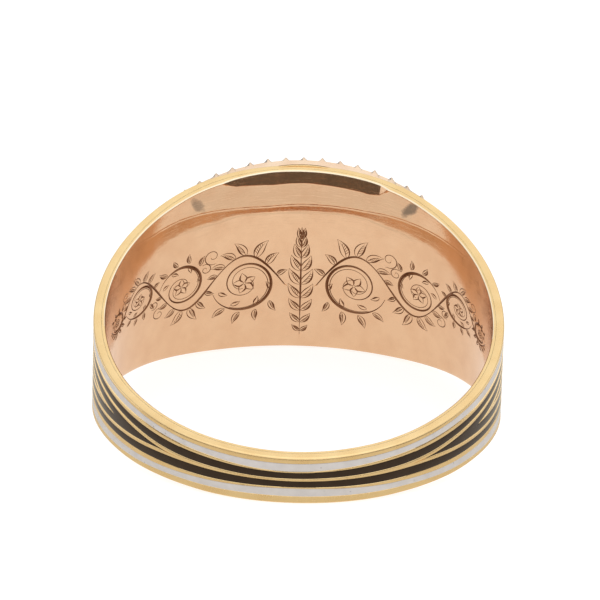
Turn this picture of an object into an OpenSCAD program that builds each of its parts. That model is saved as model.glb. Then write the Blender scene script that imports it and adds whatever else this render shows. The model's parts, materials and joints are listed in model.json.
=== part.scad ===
// Mourning ring: an enamelled gold band that widens to an oval glazed head, lying on its side.
// It is drawn upright in the ring's own frame (finger hole along Z, head towards +Y) and then laid down.

/* [Finger hole] */
// Diameter of the finger hole, which sets the ring size
inner_d = 17.7; // [17.5:0.05:17.8]
// Thickness of the rose gold lining
lining_t = 0.17; // [0.14:0.01:0.18]
// Height above the middle at which the lining starts to flare, inside the head
flare_z = 3.25; // [3:0.05:3.6]
// How far the flare leans out for each millimetre of height
flare_slope = 0.12; // [0.08:0.01:0.14]

/* [Band] */
// Outer diameter of the band
outer_d = 18.8; // [18.7:0.02:18.9]
// How far the outside is shifted towards the head, which thickens the wall there
outer_shift = 0.08; // [0.04:0.01:0.1]
// Depth of the recesses that hold the enamel
enamel_depth = 0.13; // [0.1:0.01:0.14]
// Gap that keeps neighbouring pieces apart
gap = 0.01; // [0.005:0.005:0.015]

/* [Chevrons] */
// Half width of the gold lines that form the chevrons
line_half = 0.1; // [0.08:0.01:0.12]
// Degrees from the back at which the second chevron's middle line starts
second_start = 68; // [65:1:70]
// How fast the second chevron opens, in millimetres for each degree
second_rate = 0.0175; // [0.015:0.0005:0.018]

/* [Collet] */
// Half length of the oval collet, across the ring
collet_a = 6.95; // [6.8:0.05:7.1]
// Half width of the oval collet, along the finger
collet_b = 4.97; // [4.95:0.01:5.05]
// Distance of the collet's front rim from the centre of the finger hole
collet_y = 9.76; // [9.72:0.01:9.8]
// Thickness of the collet's wall
collet_wall = 0.45; // [0.4:0.05:0.5]
// Width of the ledge inside the wall, which carries the panel
ledge_w = 0.3; // [0.2:0.05:0.4]

/* [Teeth] */
// Number of teeth round the collet's rim
teeth = 44; // [40:2:46]
// Width of a tooth at its foot
tooth_w = 0.4; // [0.34:0.02:0.46]
// Height of a tooth
tooth_h = 0.28; // [0.2:0.02:0.32]

/* [Glazing] */
// Thickness of the panel behind the crystal
panel_t = 0.1; // [0.08:0.01:0.12]
// Rise of the crystal's front over its half length
crystal_rise = 0.5; // [0.45:0.05:0.55]

/* [Hidden] */
$fn = 96;

gold_c = "#e3b866";
rose_c = "#e0b392";
white_c = "#d8d5d0";
black_c = "#2b2622";
panel_c = "#5b4634";
crystal_c = [0.85, 0.9, 0.92, 0.4];

// The band and its enamel at stations round one half of the ring. The enamel is the same on both
// sides of the middle. Each row holds the angle from the back in degrees, the half width of the
// band, the gold border, the white stripe, the gold line under it, and the middle of the first
// chevron's line above the middle of the band. Round the back the two lines run into one, and there
// that last number makes it narrower.
ANGLE = 0;
HALF_W = 1;
BORDER = 2;
WHITE = 3;
LINE = 4;
CHEVRON = 5;
stations = [
    [0,   1.26, 0.38, 0.42, 0.07, -0.03],
    [30,  1.41, 0.36, 0.31, 0.18, 0.02],
    [40,  1.51, 0.33, 0.31, 0.22, 0.11],
    [50,  1.65, 0.30, 0.33, 0.24, 0.29],
    [65,  1.88, 0.27, 0.40, 0.22, 0.55],
    [90,  2.51, 0.33, 0.54, 0.20, 0.96],
    [120, 3.63, 0.40, 0.70, 0.18, 1.62],
    [150, 4.65, 0.45, 0.75, 0.18, 2.30],
    [180, 4.93, 0.45, 0.75, 0.18, 2.50],
];
last = len(stations) - 1;

inner_r = inner_d / 2;
outer_r = outer_d / 2;
head_w = stations[last][HALF_W];
back_w = stations[0][HALF_W];
back_y = outer_shift - outer_r;
head_y = outer_shift + outer_r;
reach = 12;                 // beyond every piece, for cutting shapes
overcut = 1;                // how far a recess's cutter stands out of the band
step_deg = 3;               // spacing of the points on the curved outlines
dome_fn = 480;              // facets round the crystal's dome

// The oval is four arcs. The centre of an end arc, the centre of a side arc and the oval's middle are
// the corners of a triangle with sides in the ratio 3 to 4 to 5, so the arcs meet without a step.
collet_end_x = 1.5 * (collet_a - collet_b);
collet_end_r = collet_a - collet_end_x;
collet_side_c = 2 * (collet_a - collet_b);
collet_side_r = collet_b + collet_side_c;
collet_turn = atan2(4, 3);  // angle at which the end arc meets the side arc

panel_y = head_y + gap;
crystal_y = panel_y + panel_t + gap;
crystal_foot = 0.15;        // thickness of the crystal at the oval's ends
footprint_margin = 0.25;    // gold left bare round the collet
collet_sink = 0.2;          // how far the collet's wall runs into the band
tooth_sink = tooth_h / 4;   // how far a tooth runs into the rim

// Angles from the back at which the enamel fields start and end. Every field ends under the oval.
chevron_start = 41;
second_outer_start = second_start - line_half / second_rate;
second_inner_start = second_start + line_half / second_rate;
white_end = 160;
black_end = 150;
tip_ease = 4;               // how many gaps a sharp tip stands back, so that its slanting edges clear

// The lying ring touches the floor at the collet's foot under the head and at the back's outer edge
foot_y = head_y - collet_sink;
lie_deg = atan2(collet_b - back_w, foot_y - back_y);
drop = collet_b * cos(lie_deg) - foot_y * sin(lie_deg);
front_y = (collet_y + tooth_h) * cos(lie_deg) + collet_b * sin(lie_deg);
rear_y = back_y * cos(lie_deg) - back_w * sin(lie_deg);

// The slope of a column at a station, level at the back and at the head
function slope(i, column) =
    i == 0 || i == last ? 0
    : (stations[i + 1][column] - stations[i - 1][column])
        / (stations[i + 1][ANGLE] - stations[i - 1][ANGLE]);

// A column of the stations at any angle from the back, joined by smooth cubics
function at(angle, column) =
    let (
        i = min(last - 1, len([for (s = stations) if (s[ANGLE] <= angle) 1]) - 1),
        span = stations[i + 1][ANGLE] - stations[i][ANGLE],
        u = (angle - stations[i][ANGLE]) / span
    )
    stations[i][column] * (2 * pow(u, 3) - 3 * pow(u, 2) + 1)
    + slope(i, column) * span * (pow(u, 3) - 2 * pow(u, 2) + u)
    + stations[i + 1][column] * (3 * pow(u, 2) - 2 * pow(u, 3))
    + slope(i + 1, column) * span * (pow(u, 3) - pow(u, 2));

// Heights of the enamel's edges above the middle
function white_top(angle) = at(angle, HALF_W) - at(angle, BORDER);
function white_foot(angle) = white_top(angle) - at(angle, WHITE);
function black_top(angle) = white_foot(angle) - at(angle, LINE);
function black_foot(angle) = at(angle, CHEVRON) + line_half;
function chevron_inside(angle) = at(angle, CHEVRON) - line_half;
function second_middle(angle) = second_rate * (angle - second_start);

// The band's outer surface, seen from the side
function side_y(angle) = outer_shift - outer_r * cos(angle);

// Angles from one value to another, evenly spaced
function steps(from, to) =
    let (n = ceil((to - from) / step_deg))
    [for (k = [0:n]) from + (to - from) * k / n];

// The oval's outline as arcs, drawn smaller by inset
module oval(inset = 0) {
    strip_x = collet_end_x + (collet_end_r - inset) * cos(collet_turn);
    intersection() {
        translate([0, -collet_side_c]) circle(collet_side_r - inset);
        translate([0, collet_side_c]) circle(collet_side_r - inset);
        square([2 * strip_x, reach], center = true);
    }
    for (side = [-1, 1])
        intersection() {
            translate([side * collet_end_x, 0]) circle(collet_end_r - inset);
            translate([side * (strip_x + reach / 2), 0]) square(reach, center = true);
        }
}

// An oval prism between two distances from the finger hole's centre
module oval_prism(y_from, y_to, inset = 0)
    translate([0, y_to, 0])
        rotate([90, 0, 0])
            linear_extrude(y_to - y_from)
                oval(inset);

// A shape drawn in the side view, carried right across the ring
module across()
    rotate([90, 0, 90])
        linear_extrude(2 * reach, center = true)
            children();

// The band's outline in the side view
module side_outline() {
    angles = steps(0, 180);
    upper = [for (t = angles) [side_y(t), at(t, HALF_W)]];
    lower = [for (t = angles) [side_y(180 - t), -at(180 - t, HALF_W)]];
    across()
        polygon(concat([[-reach, back_w]], upper, [[reach, head_w], [reach, -head_w]],
            lower, [[-reach, -back_w]]));
}

// The space inside the lining, or with grow the space that the lining stands in
module hollow(grow = 0)
    rotate_extrude()
        polygon([
            [0, -reach],
            [inner_r + grow, -reach],
            [inner_r + grow, flare_z],
            [inner_r + grow + flare_slope * (reach - flare_z), reach],
            [0, reach],
        ]);

// A disc of the band's outer shape, smaller by inset
module outer_disc(inset = 0)
    translate([0, outer_shift, 0])
        cylinder(r = outer_r - inset, h = 2 * reach, center = true);

// An enamel field: a layer of the band under an outline in the side view. The recess that is cut
// for it is larger by the gap all round.
module enamel_layer(recess) {
    intersection() {
        difference() {
            outer_disc(recess ? -overcut : gap);
            outer_disc(enamel_depth - (recess ? 0 : gap));
            oval_prism(0, reach, -footprint_margin - (recess ? 0 : gap));
        }
        across() children();
    }
}

// A field between two heights that are functions of the angle, given as lists of [y, z]
function between(angles, feet, tops) = concat(
    [for (i = [0:len(angles) - 1]) [side_y(angles[i]), feet[i]]],
    [for (i = [len(angles) - 1:-1:0]) [side_y(angles[i]), tops[i]]]
);

// The white stripe above the middle, carried past the back so that both sides are one piece
module white_outline(shrink) {
    angles = steps(0, white_end);
    polygon(concat(
        [[-reach, white_top(0) - shrink], [-reach, white_foot(0) + shrink]],
        between(angles,
            [for (t = angles) white_foot(t) + shrink],
            [for (t = angles) white_top(t) - shrink])
    ));
}

// The black stripe above the middle line and outside the first chevron
module black_outline(shrink) {
    angles = steps(0, black_end);
    polygon(concat(
        [[-reach, black_top(0) - shrink], [-reach, black_foot(0) + shrink]],
        between(angles,
            [for (t = angles) black_foot(t) + shrink],
            [for (t = angles) black_top(t) - shrink])
    ));
}

// The black field between the two chevrons
module chevron_outline(shrink) {
    outer_angles = steps(chevron_start, black_end);
    inner_angles = steps(second_outer_start, black_end);
    inner = [for (t = inner_angles) [side_y(t), second_middle(t) + line_half + shrink]];
    tip = [side_y(second_outer_start) - shrink, 0];
    polygon(concat(
        [[side_y(chevron_start) + shrink, 0]],
        [for (t = outer_angles) [side_y(t) + shrink, chevron_inside(t) - shrink]],
        [for (i = [len(inner) - 1:-1:1]) inner[i]],
        [tip],
        [for (i = [1:len(inner) - 1]) [inner[i][0], -inner[i][1]]],
        [for (i = [len(outer_angles) - 1:-1:0])
            [side_y(outer_angles[i]) + shrink, shrink - chevron_inside(outer_angles[i])]]
    ));
}

// The black field inside the second chevron
module point_outline(shrink) {
    angles = [for (t = steps(second_inner_start, black_end)) if (t > second_inner_start) t];
    edge = [for (t = angles) second_middle(t) - line_half - shrink];
    polygon(concat(
        [[side_y(second_inner_start) + tip_ease * shrink, 0]],
        [for (i = [0:len(angles) - 1]) if (edge[i] > 0) [side_y(angles[i]), edge[i]]],
        [for (i = [len(angles) - 1:-1:0]) if (edge[i] > 0) [side_y(angles[i]), -edge[i]]]
    ));
}

// One side of the ring: -1 is the left, 1 is the right
module half(side)
    intersection() {
        children();
        translate([side * reach / 2, 0, 0]) cube([reach, 3 * reach, 3 * reach], center = true);
    }

// Every recess at once, which is cut out of the band
module recesses() {
    enamel_layer(true) white_outline(0);
    enamel_layer(true) mirror([0, 1]) white_outline(0);
    enamel_layer(true) black_outline(0);
    enamel_layer(true) mirror([0, 1]) black_outline(0);
    enamel_layer(true) chevron_outline(0);
    enamel_layer(true) point_outline(0);
}

// A place on the oval's rim at a length s from its top, as [x, z, direction of the outward normal]
quarter_side = collet_side_r * (90 - collet_turn) * PI / 180;
quarter = quarter_side + collet_end_r * collet_turn * PI / 180;
function rim_quarter(s) =
    s <= quarter_side
    ? let (a = 90 - s / collet_side_r * 180 / PI)
        [collet_side_r * cos(a), collet_side_r * sin(a) - collet_side_c, a]
    : let (a = collet_turn - (s - quarter_side) / collet_end_r * 180 / PI)
        [collet_end_x + collet_end_r * cos(a), collet_end_r * sin(a), a];
function rim_place(s) =
    s <= quarter ? rim_quarter(s)
    : s <= 2 * quarter ? let (p = rim_quarter(2 * quarter - s)) [p[0], -p[1], -p[2]]
    : s <= 3 * quarter ? let (p = rim_quarter(s - 2 * quarter)) [-p[0], -p[1], p[2] + 180]
    : let (p = rim_quarter(4 * quarter - s)) [-p[0], p[1], 180 - p[2]];

// One tooth on the collet's front rim: a wedge across the thickness of the wall
module tooth(place)
    translate([place[0], collet_y, place[1]])
        rotate([0, -place[2], 0])
            translate([-collet_wall / 2, 0, 0])
                rotate([0, 90, 0])
                    linear_extrude(collet_wall, center = true)
                        polygon([[-tooth_w / 2, -tooth_sink], [tooth_w / 2, -tooth_sink],
                            [tooth_w / 2, 0], [0, tooth_h], [-tooth_w / 2, 0]]);

// The collet: an oval wall with a ledge inside it and teeth on its rim
module collet() {
    difference() {
        oval_prism(0, collet_y);
        oval_prism(panel_y - gap, reach, collet_wall);
        oval_prism(-gap, reach, collet_wall + ledge_w);
        outer_disc(collet_sink);
    }
    for (k = [0:teeth - 1])
        tooth(rim_place(4 * quarter * k / teeth));
}

// The ring lies on its side, on the floor at height 0, with its box centred on the origin
module lie_down()
    translate([0, -(front_y + rear_y) / 2, drop])
        rotate([lie_deg, 0, 0])
            children();

module band()
    color(gold_c)
        lie_down() {
            difference() {
                intersection() {
                    outer_disc();
                    side_outline();
                }
                hollow(lining_t + gap);
                recesses();
            }
            collet();
        }

module lining()
    color(rose_c)
        lie_down()
            difference() {
                intersection() {
                    hollow(lining_t);
                    side_outline();
                }
                hollow();
            }

// A side view outline as drawn, or turned over for the lower half of the band
module turned_over(side)
    if (side > 0)
        children();
    else
        mirror([0, 1]) children();

module white_stripe(side)
    color(white_c)
        lie_down()
            enamel_layer(false)
                turned_over(side) white_outline(gap);

module black_stripe(side)
    color(black_c)
        lie_down()
            enamel_layer(false)
                turned_over(side) black_outline(gap);

module black_chevron(side)
    color(black_c)
        lie_down()
            half(side)
                enamel_layer(false)
                    chevron_outline(gap);

module black_point(side)
    color(black_c)
        lie_down()
            half(side)
                enamel_layer(false)
                    point_outline(gap);

module panel()
    color(panel_c)
        lie_down()
            oval_prism(panel_y, panel_y + panel_t, collet_wall + gap);

module crystal() {
    inset = collet_wall + gap;
    half_length = collet_a - inset;
    dome_r = (pow(half_length, 2) + pow(crystal_rise, 2)) / (2 * crystal_rise);
    dome_y = crystal_y + crystal_foot + crystal_rise - dome_r;
    color(crystal_c)
        lie_down()
            intersection() {
                oval_prism(crystal_y, reach, inset);
                translate([0, dome_y, 0]) sphere(dome_r, $fn = dome_fn);
            }
}

band();
lining();
white_stripe(1);  // white_stripe_upper
white_stripe(-1);  // white_stripe_lower
black_stripe(1);  // black_stripe_upper
black_stripe(-1);  // black_stripe_lower
black_chevron(-1);  // black_chevron_left
black_chevron(1);  // black_chevron_right
black_point(-1);  // black_point_left
black_point(1);  // black_point_right
panel();
crystal();
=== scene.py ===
"""Mourning ring: an enamelled gold band with an oval glazed head, lying on its side on white.

Shapes are worked out in the ring's own frame, in millimetres: the finger hole runs along Z and the
head points along +Y. to_world() lays them down where the CAD ring lies.
"""

import json
import math

import bmesh
import bpy
import numpy as np
from mathutils import Matrix, Vector, geometry, kdtree


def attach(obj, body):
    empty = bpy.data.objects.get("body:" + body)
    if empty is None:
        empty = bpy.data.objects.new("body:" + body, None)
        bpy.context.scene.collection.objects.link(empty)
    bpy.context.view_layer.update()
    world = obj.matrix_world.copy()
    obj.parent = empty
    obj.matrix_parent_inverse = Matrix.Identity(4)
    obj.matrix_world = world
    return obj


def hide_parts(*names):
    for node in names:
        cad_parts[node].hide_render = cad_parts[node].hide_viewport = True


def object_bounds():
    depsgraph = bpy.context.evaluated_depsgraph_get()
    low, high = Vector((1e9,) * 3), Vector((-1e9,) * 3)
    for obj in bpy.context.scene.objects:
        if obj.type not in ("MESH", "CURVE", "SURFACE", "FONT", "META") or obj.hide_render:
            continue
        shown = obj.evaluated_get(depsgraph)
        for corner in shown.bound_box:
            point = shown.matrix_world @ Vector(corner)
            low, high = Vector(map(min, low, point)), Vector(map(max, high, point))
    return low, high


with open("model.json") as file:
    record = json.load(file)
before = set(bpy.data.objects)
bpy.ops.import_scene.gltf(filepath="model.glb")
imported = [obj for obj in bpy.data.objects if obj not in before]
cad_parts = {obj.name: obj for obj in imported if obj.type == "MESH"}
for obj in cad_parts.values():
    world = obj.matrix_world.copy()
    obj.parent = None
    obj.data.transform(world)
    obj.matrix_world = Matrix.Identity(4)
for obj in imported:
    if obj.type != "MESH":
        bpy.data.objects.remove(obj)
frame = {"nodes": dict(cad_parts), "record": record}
cad_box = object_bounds()

# Sizes, as in the CAD model
INNER_R = 8.85
LINING_T = 0.17
GAP = 0.01
FLARE_Z = 3.25
FLARE_SLOPE = 0.12
OUTER_R = 9.4
SHIFT = 0.08
ENAMEL_DEPTH = 0.13
LINE_HALF = 0.1
SECOND_START = 68
SECOND_RATE = 0.0175
COLLET_A = 6.95
COLLET_B = 4.97
COLLET_Y = 9.76
COLLET_WALL = 0.45
TEETH = 44
TOOTH_W = 0.4
TOOTH_H = 0.28
PANEL_T = 0.1
CRYSTAL_RISE = 0.5
CRYSTAL_FOOT = 0.15
FOOTPRINT_MARGIN = 0.25
SEAM_R = INNER_R + LINING_T

# Angle from the back, half width, gold border, white stripe, gold line, first chevron's middle
STATIONS = np.array([
    [0, 1.26, 0.38, 0.42, 0.07, -0.03],
    [30, 1.41, 0.36, 0.31, 0.18, 0.02],
    [40, 1.51, 0.33, 0.31, 0.22, 0.11],
    [50, 1.65, 0.30, 0.33, 0.24, 0.29],
    [65, 1.88, 0.27, 0.40, 0.22, 0.55],
    [90, 2.51, 0.33, 0.54, 0.20, 0.96],
    [120, 3.63, 0.40, 0.70, 0.18, 1.62],
    [150, 4.65, 0.45, 0.75, 0.18, 2.30],
    [180, 4.93, 0.45, 0.75, 0.18, 2.50],
])
HALF_W, BORDER, WHITE, LINE, CHEVRON = 1, 2, 3, 4, 5

hole = next(m for m in frame["record"]["mounts"] if m["name"] == "finger_hole")
CENTRE = np.array(hole["pos_m"])
LIE = math.atan2(-hole["axis"][1], hole["axis"][2])
MM = 0.001


def turn(vectors):
    """A direction in the ring frame, turned as the lying ring is."""
    v = np.asarray(vectors, float)
    y = v[..., 1] * math.cos(LIE) - v[..., 2] * math.sin(LIE)
    z = v[..., 1] * math.sin(LIE) + v[..., 2] * math.cos(LIE)
    return np.stack([v[..., 0], y, z], -1)


def to_world(points):
    """Ring frame in millimetres to the row frame in metres."""
    return turn(points) * MM + CENTRE


def xyz(x, y, z):
    """Points from their coordinates, each an array or one number for all."""
    return np.stack(np.broadcast_arrays(x, y, z), -1)


def smooth(x):
    x = np.clip(x, 0, 1)
    return x * x * (3 - 2 * x)


def wave(x, seed, period, terms=4):
    """A small repeatable wobble between about -1 and 1; it closes on itself over 360 degrees."""
    rng = np.random.default_rng(seed)
    total = np.zeros_like(np.asarray(x, float))
    for k in range(terms):
        turns = max(1, round(360 / period * (0.6 + 0.55 * k)))
        height = rng.uniform(0.5, 1)
        phase = rng.uniform(0, 6.283)
        total = total + height * np.sin(np.radians(turns * np.asarray(x)) + phase)
    return total / terms


# Profiles of the band
def at(angle, column):
    """A column of the stations at an angle from the back, joined by smooth cubics."""
    a = np.clip(np.abs(np.asarray(angle, float)), 0, 180)
    x, y = STATIONS[:, 0], STATIONS[:, column]
    slope = np.zeros(len(x))
    slope[1:-1] = (y[2:] - y[:-2]) / (x[2:] - x[:-2])
    i = np.clip(np.searchsorted(x, a, side="right") - 1, 0, len(x) - 2)
    span = x[i + 1] - x[i]
    u = (a - x[i]) / span
    return (
        y[i] * (2 * u**3 - 3 * u**2 + 1)
        + slope[i] * span * (u**3 - 2 * u**2 + u)
        + y[i + 1] * (3 * u**2 - 2 * u**3)
        + slope[i + 1] * span * (u**3 - u**2)
    )


EDGE_WOBBLE = 0.011  # unevenness of the enamel's edges, which were cut by hand


def rise(phi):
    """How far the enamelled pattern sits above the middle line round the back."""
    return 0.035 * np.exp(-((np.asarray(phi) / 45) ** 2))


def edge_heights(phi, half):
    """Heights of the enamel's seven edges above the middle line, from the top down, at angles phi
    (signed, from the back) on the upper (1) or lower (-1) half of the band."""
    seed = 10 if half > 0 else 40
    top = at(phi, HALF_W) - at(phi, BORDER)
    foot = top - at(phi, WHITE)
    edges = [top, foot, foot - at(phi, LINE)]
    for middle in (at(phi, CHEVRON), SECOND_RATE * (np.abs(phi) - SECOND_START)):
        edges += [middle + LINE_HALF, middle - LINE_HALF]
    lift = half * rise(phi)
    return [e + EDGE_WOBBLE * wave(phi, seed + k, 55 + 9 * k) + lift for k, e in enumerate(edges)]


# The oval of four arcs: the middle and radius of an end arc and of a side arc, and where they meet
END_X = 1.5 * (COLLET_A - COLLET_B)
END_R = COLLET_A - END_X
SIDE_C = 2 * (COLLET_A - COLLET_B)
SIDE_R = COLLET_B + SIDE_C
TURN = math.atan2(4, 3)


def oval_x(z, grow=0.0):
    """Half length of the oval's outline at a height z, with the outline grown outwards."""
    z = np.abs(np.asarray(z, float))
    on_end = z <= (END_R + grow) * math.sin(TURN)
    end = END_X + np.sqrt(np.maximum((END_R + grow) ** 2 - z**2, 0))
    side = np.sqrt(np.maximum((SIDE_R + grow) ** 2 - (z + SIDE_C) ** 2, 0))
    return np.where(on_end, end, side)


def oval_angle(z, grow=FOOTPRINT_MARGIN):
    """Angle from the back at which the band's outer surface at height z meets the grown oval."""
    return 180 - np.degrees(np.arcsin(np.clip(oval_x(z, grow) / OUTER_R, 0, 1)))


def outer_point(phi, z, depth):
    """A place on the band's outer surface, at an angle from the back, sunk by depth."""
    a = np.radians(phi)
    r = OUTER_R - depth
    return xyz(r * np.sin(a), SHIFT - r * np.cos(a), z)


def direction(phi):
    """Direction, in degrees from the head, of outer_point(phi) seen from the finger hole's axis."""
    a = np.radians(phi)
    return np.degrees(np.arctan2(OUTER_R * np.sin(a), SHIFT - OUTER_R * np.cos(a)))


def polar(theta, r, z):
    """A place at radius r from the finger hole's axis, in a direction in degrees from the head."""
    a = np.radians(theta)
    return xyz(r * np.sin(a), r * np.cos(a), z)


def outer_radius(theta):
    """Distance of the outer surface from the finger hole's axis in a direction."""
    a = np.radians(theta)
    return SHIFT * np.cos(a) + np.sqrt(OUTER_R**2 - (SHIFT * np.sin(a)) ** 2)


def width_at(y):
    """Half width of the ring where it stands at y, which is the same right across the ring."""
    return at(np.degrees(np.arccos(np.clip((SHIFT - y) / OUTER_R, -1, 1))), HALF_W)


def rim_z(theta, r, half):
    """Height of the rim's top above or below the middle, in a direction and at a radius."""
    slant = 0.02 + (0.1 * smooth((80 - np.abs(theta)) / 60) if half > 0 else 0)
    return width_at(r * np.cos(np.radians(theta))) - slant * (outer_radius(theta) - r)


def seam_radius(z):
    """The lining's outer radius at a height."""
    return SEAM_R + FLARE_SLOPE * np.maximum(z - FLARE_Z, 0)


def seam_top(theta, half):
    """Radius at which the seam comes out at the rim."""
    r = np.full(np.shape(theta), SEAM_R)
    if half > 0:
        for _ in range(6):
            r = seam_radius(rim_z(theta, r, half))
    return r


LIP = 0.02  # how far the gold stands over the enamel's edge
SLOPE_W = 0.05  # width over which the gold's edges are rounded over
WALL_W = 0.012  # distance from a field's edge to the foot of its wall
MID_WALL = 0.007  # distance from a field's edge to where its wall starts to fall


def inside_distance(phi, z, half):
    """Distance inside the nearest enamel field, negative on the gold, in millimetres."""
    e = edge_heights(phi, half)
    z = np.abs(z)
    s = np.minimum(e[0] - z, z - e[1])
    s = np.maximum(s, np.minimum(e[2] - z, z - e[3]))
    inner = np.where(e[5] > 0, z - e[5], 9.0)
    s = np.maximum(s, np.minimum(e[4] - z, inner))
    s = np.maximum(s, e[6] - z)
    end = (oval_angle(z) - np.abs(phi)) * math.radians(1) * OUTER_R
    return np.minimum(s, end)


def gold_depth(s):
    """How deep the band's surface lies at a distance s inside a field."""
    on_gold = LIP * smooth((s + SLOPE_W) / SLOPE_W) * (s > -SLOPE_W)
    wall = np.interp(s, [0, MID_WALL, 0.011], [LIP, LIP + 0.01, ENAMEL_DEPTH])
    return np.where(s > 0, wall, on_gold)


# Meshes
MERGE = 0.0004  # points closer than this are one point


def mesh_object(name, verts, faces, materials, face_material=None, sharp=35):
    """An object from points in the ring frame. Faces is a list of index lists or arrays."""
    mesh = bpy.data.meshes.new(name)
    mesh.from_pydata(to_world(verts).tolist(), [], faces)
    for material in materials:
        mesh.materials.append(material)
    if face_material is not None:
        mesh.polygons.foreach_set("material_index", np.asarray(face_material, np.int32))
    bm = bmesh.new()
    bm.from_mesh(mesh)
    bmesh.ops.remove_doubles(bm, verts=bm.verts, dist=MERGE * MM)
    bmesh.ops.dissolve_degenerate(bm, edges=bm.edges, dist=MERGE * MM * 0.25)
    bmesh.ops.recalc_face_normals(bm, faces=bm.faces)
    bm.to_mesh(mesh)
    bm.free()
    mesh.polygons.foreach_set("use_smooth", np.ones(len(mesh.polygons), bool))
    mesh.set_sharp_from_angle(angle=math.radians(sharp))
    mesh.update()
    return linked(name, mesh)


def linked(name, data):
    obj = bpy.data.objects.new(name, data)
    bpy.context.scene.collection.objects.link(obj)
    return obj


def grid(rows, cols, wrap_rows=False, wrap_cols=False):
    """Quads over a grid of points numbered row by row."""
    r = np.arange(rows if wrap_rows else rows - 1)
    c = np.arange(cols if wrap_cols else cols - 1)
    r, c = np.meshgrid(r, c, indexing="ij")
    r2, c2 = (r + 1) % rows, (c + 1) % cols
    return np.stack([r * cols + c, r * cols + c2, r2 * cols + c2, r2 * cols + c], -1).reshape(-1, 4)


# Columns round the band
# Every level of the band has the same number of columns. Up to COLS they end where the level
# meets the oval, so that the fields' ends are followed exactly; the rest run on under the collet.
COLS = 330
END_STEPS = np.degrees(np.array([0.016, 0.008, 0.0, -0.03, -0.06]) / OUTER_R)
UNDER = 36


def end_angle(height):
    """Angle from the back at which a level meets the oval. height(phi) is the level's height."""
    phi = np.full(1, 140.0)
    for _ in range(30):
        phi = 0.5 * phi + 0.5 * oval_angle(np.maximum(height(phi), 0))
    return float(phi[0])


def level_angles(height):
    """Angles of a level's columns on one side."""
    end = end_angle(height)
    first = np.linspace(0, end - END_STEPS[0] * 3, COLS)
    close = end - END_STEPS
    rest = np.linspace(close[-1], 180, UNDER + 1)[1:]
    return np.concatenate([first, close, rest])


def level_row(height_of, half):
    """Angles and heights of a level all the way round, from the head round the back to the head."""
    sides = []
    for side in (-1, 1):
        a = level_angles(lambda p: height_of(side * p, half))
        sides.append((side * a, np.maximum(height_of(side * a, half), 0)))
    return [np.concatenate([left[::-1], right[1:]]) for left, right in zip(*sides)]


CORNER_START = 27  # the corners' arc starts this many degrees round, at a faint edge


def corner(phi):
    """Radius of the band's outer corners: soft round the back, crisper at the head."""
    return 0.18 - 0.05 * smooth((np.abs(phi) - 100) / 40)


def corner_z(phi, half):
    """Height at which the corner starts."""
    return at(phi, HALF_W) - corner(phi) * (1 - math.sin(math.radians(CORNER_START)))


INTO_FIELD = (0, -MID_WALL, -WALL_W)
OVER_EDGE = (SLOPE_W, SLOPE_W / 2) + INTO_FIELD


def band_levels():
    """Heights, as functions of the angle and the half, of the levels from the corner down to the
    middle line."""

    def border(p, h):
        return 0.5 * (corner_z(p, h) + edge_heights(p, h)[0] + SLOPE_W)

    def edge(k, off):
        return lambda p, h: edge_heights(p, h)[k] + off

    def between(k, t):
        return lambda p, h: edge_heights(p, h)[k] * t + edge_heights(p, h)[k + 1] * (1 - t)

    levels = [corner_z, border]
    levels += [edge(0, off) for off in OVER_EDGE]
    levels += [edge(1, -off) for off in INTO_FIELD[::-1]]
    levels += [between(1, t) for t in (0.72, 0.5, 0.28)]
    levels += [edge(2, off) for off in INTO_FIELD]
    for k in (3, 5):
        levels += [edge(k, -off) for off in OVER_EDGE[::-1]]
        levels.append(between(k, 0.5))
        levels += [edge(k + 1, off) for off in OVER_EDGE]
    return levels + [lambda p, h: 0 * np.abs(p)]


def band_outer(half):
    """Rows of points on the band's outer surface, from the corner to the middle line."""
    rows = []
    last = np.inf
    for height in band_levels():
        phi, z = level_row(height, half)
        last = np.minimum(z, last)
        rows.append(outer_point(phi, half * last, gold_depth(inside_distance(phi, last, half))))
    return rows


def band_rim(half):
    """Rows of points from the outer corner over the rim and down the hidden wall."""
    phi, _ = level_row(corner_z, half)
    curve = corner(phi)
    theta = direction(phi)
    r_out = outer_radius(theta)
    begin = math.radians(CORNER_START)
    rows = []

    def add(r, z):
        rows.append(polar(theta, r, half * z))

    for a in [begin + 0.03, *np.radians(np.linspace(CORNER_START, 90, 7))[1:]]:
        r = r_out - curve * (math.cos(begin) - np.cos(a))
        add(r, rim_z(theta, r, half) - curve * (1 - np.sin(a)))
    seam = seam_top(theta, half) + GAP
    for t in (0.25, 0.5, 0.75):
        r = (r_out - curve * math.cos(begin)) * (1 - t) + (seam + 0.03) * t
        add(r, rim_z(theta, r, half) + 0.012 * math.sin(math.pi * t))
    for r in (seam + 0.03, seam):
        add(r, rim_z(theta, r, half))
    top = rim_z(theta, seam, half)
    for drop in (0.3, 0.6):
        r = seam_radius(top - drop) if half > 0 else SEAM_R
        add(r + GAP, top - drop)
    add(SEAM_R + GAP, np.minimum(FLARE_Z, top - 0.7))
    return rows


def band_mesh(gold):
    upper, lower = band_outer(1), band_outer(-1)
    loop = upper + lower[::-1][1:] + band_rim(-1) + band_rim(1)[::-1]
    verts = np.concatenate(loop)
    faces = grid(len(loop), len(loop[0]), wrap_rows=True)
    return mesh_object("band_metal", verts, faces.tolist(), [gold])


# Enamel
# Distances from a field's edge at which its top has rows, and of its foot, with the foot's depths
EDGE_OFFSETS = (0.004, 0.02, 0.05)
FOOT_OFFSETS = ((0.012, 0.034), (0.013, 0.12))
END_GAP = 0.014  # distance of the enamel's end from its field's end


def enamel_depth(s):
    """Depth of the enamel's top at a distance inside its field."""
    return np.interp(s, [0.004, 0.02, 0.05, 0.2], [0.022, 0.014, 0.010, 0.008])


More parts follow.
